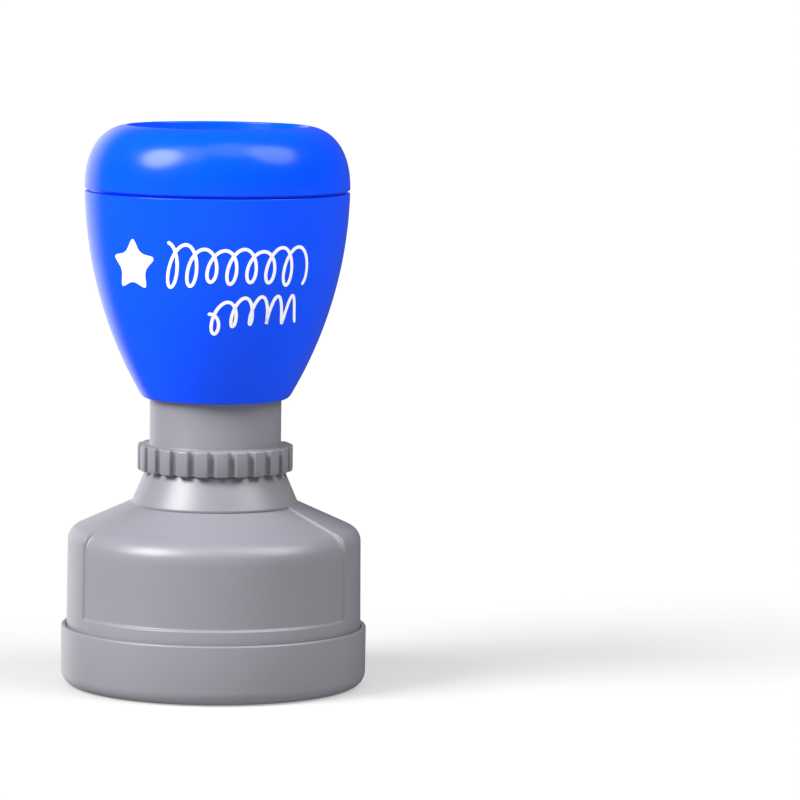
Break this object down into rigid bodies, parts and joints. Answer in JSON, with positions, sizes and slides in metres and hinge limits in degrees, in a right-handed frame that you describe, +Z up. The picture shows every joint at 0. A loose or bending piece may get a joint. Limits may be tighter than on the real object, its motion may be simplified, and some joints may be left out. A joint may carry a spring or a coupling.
{
  "type": "rubber stamp",
  "caption": "Round pre-inked hand stamp with a bulbous glossy handle, knurled adjusting sleeve, skirted housing and dust cap.",
  "frame": {"origin": "centre of the dust cap's foot, on the surface that the stamp stands on", "axes": "+Z up along the stamp's axis to the handle; -Y is the front, where the handle's printed mark is; +X is to the right seen from the front"},
  "size_m": [0.052, 0.052, 0.0954],
  "materials": {
    "blue_abs": "polished moulded ABS, bright blue, with a white pad-printed mark on the front",
    "grey_abs": "satin moulded ABS, cool mid grey",
    "black_rubber": "matt moulded rubber",
    "spring_steel": "drawn spring wire",
    "zinc_steel": "zinc-plated steel",
    "ink_felt": "felt soaked in blue ink",
    "flash_foam": "fine open-cell foam, tinted by its blue ink",
    "white_pp": "moulded polypropylene",
    "label_paper": "coated label paper"
  },
  "bodies": {
    "base_cap": {"base_cap": "grey_abs"},
    "housing": {"bell_housing": "grey_abs", "return_spring": "spring_steel"},
    "sleeve_stop": {"stop_washer": "black_rubber"},
    "sleeve": {"adjusting_sleeve": "grey_abs"},
    "plunger": {"plunger_rod": "grey_abs", "pad_holder": "grey_abs", "holder_screws": "zinc_steel", "ink_reservoir": "ink_felt", "flash_pad": "flash_foam", "pad_frame": "white_pp", "handle_body": "blue_abs", "handle_screws": "zinc_steel"},
    "filler_plug": {"filler_plug": "black_rubber"},
    "handle_cap": {"handle_cap": "blue_abs", "label_disc": "label_paper"}
  },
  "joints": [
    {"name": "dust_cap_off", "type": "slide", "parent": "base_cap", "child": "housing", "axis": [0, 0, 1], "range_m": [0, 0.03]},
    {"name": "press", "type": "slide", "parent": "housing", "child": "plunger", "axis": [0, 0, -1], "range_m": [0, 0.0055], "stiffness_N_per_m": 670, "springref_m": -0.0071, "deforming": ["return_spring"]},
    {"name": "sleeve_rise", "type": "slide", "parent": "housing", "child": "sleeve_stop", "axis": [0, 0, 1], "range_m": [0, 0.00225]},
    {"name": "sleeve_turn", "type": "hinge", "parent": "sleeve_stop", "child": "sleeve", "pos_m": [0, 0, 0.0389], "axis": [0, 0, 1], "range_deg": [0, 270]},
    {"name": "plug_pull", "type": "slide", "parent": "plunger", "child": "filler_plug", "axis": [0, 0, 1], "range_m": [0, 0.008]},
    {"name": "handle_cap_off", "type": "slide", "parent": "plunger", "child": "handle_cap", "axis": [0, 0, 1], "range_m": [0, 0.02]}
  ],
  "couplings": [
    {"joint": "sleeve_rise", "follows": "sleeve_turn", "m_per_rad": 0.00047746}
  ]
}
